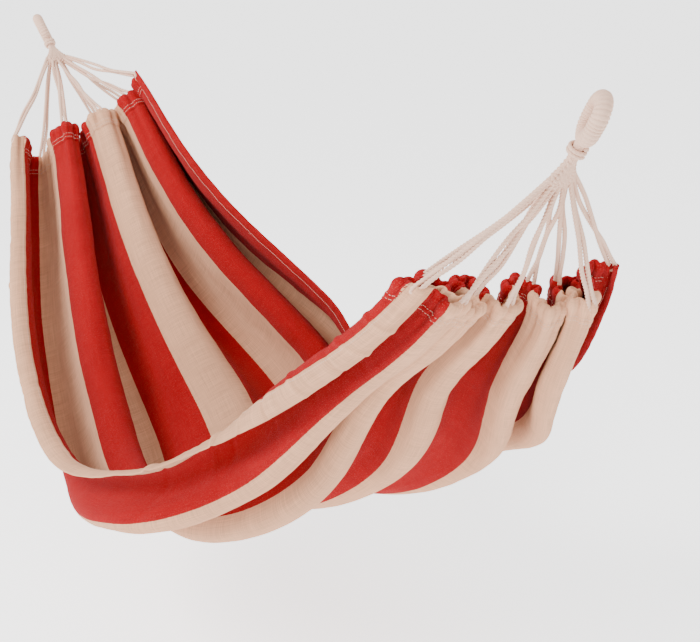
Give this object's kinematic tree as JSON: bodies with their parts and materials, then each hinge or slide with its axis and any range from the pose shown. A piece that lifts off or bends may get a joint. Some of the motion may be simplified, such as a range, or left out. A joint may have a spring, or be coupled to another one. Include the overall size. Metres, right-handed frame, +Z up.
{
  "type": "striped cloth hammock",
  "caption": "Striped woven-cloth hammock hung from two served rope eyes, with fans of doubled suspension cords, knotted plaits and gathered end hems.",
  "frame": {"origin": "the seat of the head eye on its hook, at the top inside of the eye", "axes": "+X towards the foot eye, +Y towards the far side of the cloth, +Z up"},
  "size_m": [1.8531, 0.865, 0.9888],
  "materials": {
    "striped_cloth": "plain-woven cotton in broad red and cream stripes",
    "red_cloth": "plain-woven red cotton",
    "cream_cloth": "plain-woven cream cotton",
    "cotton_rope": "soft laid cotton cord",
    "cotton_thread": "sewing thread"
  },
  "bodies": {
    "head_eye": {"head_eye_core": "cotton_rope", "head_eye_serving": "cotton_rope", "head_collar": "cotton_rope"},
    "hammock": {"head_plait": "cotton_rope", "head_cord_1": "cotton_rope", "head_cord_2": "cotton_rope", "head_cord_3": "cotton_rope", "head_cord_4": "cotton_rope", "head_cord_5": "cotton_rope", "head_cord_6": "cotton_rope", "head_cord_7": "cotton_rope", "head_cord_8": "cotton_rope", "head_cord_9": "cotton_rope", "head_end_hem": "striped_cloth", "head_end_stitching": "cotton_thread", "bed_cloth": "striped_cloth", "near_side_hem": "cream_cloth", "near_side_stitching": "cotton_thread", "far_side_hem": "red_cloth", "far_side_stitching": "cotton_thread", "foot_end_hem": "striped_cloth", "foot_end_stitching": "cotton_thread", "foot_cord_1": "cotton_rope", "foot_cord_2": "cotton_rope", "foot_cord_3": "cotton_rope", "foot_cord_4": "cotton_rope", "foot_cord_5": "cotton_rope", "foot_cord_6": "cotton_rope", "foot_cord_7": "cotton_rope", "foot_cord_8": "cotton_rope", "foot_cord_9": "cotton_rope", "foot_plait": "cotton_rope"},
    "foot_eye": {"foot_collar": "cotton_rope", "foot_eye_serving": "cotton_rope", "foot_eye_core": "cotton_rope"}
  },
  "joints": [
    {"name": "swing", "type": "hinge", "parent": "head_eye", "child": "hammock", "pos_m": [0.0607, 0, -0.0566], "axis": [0.9999, 0, -0.0102], "range_deg": [-45, 45]},
    {"name": "foot_eye_turn", "type": "hinge", "parent": "hammock", "child": "foot_eye", "pos_m": [1.7623, 0, -0.074], "axis": [0.9999, 0, -0.0102], "range_deg": [-45, 45]}
  ],
  "couplings": [
    {"joint": "foot_eye_turn", "follows": "swing", "ratio": -1}
  ]
}
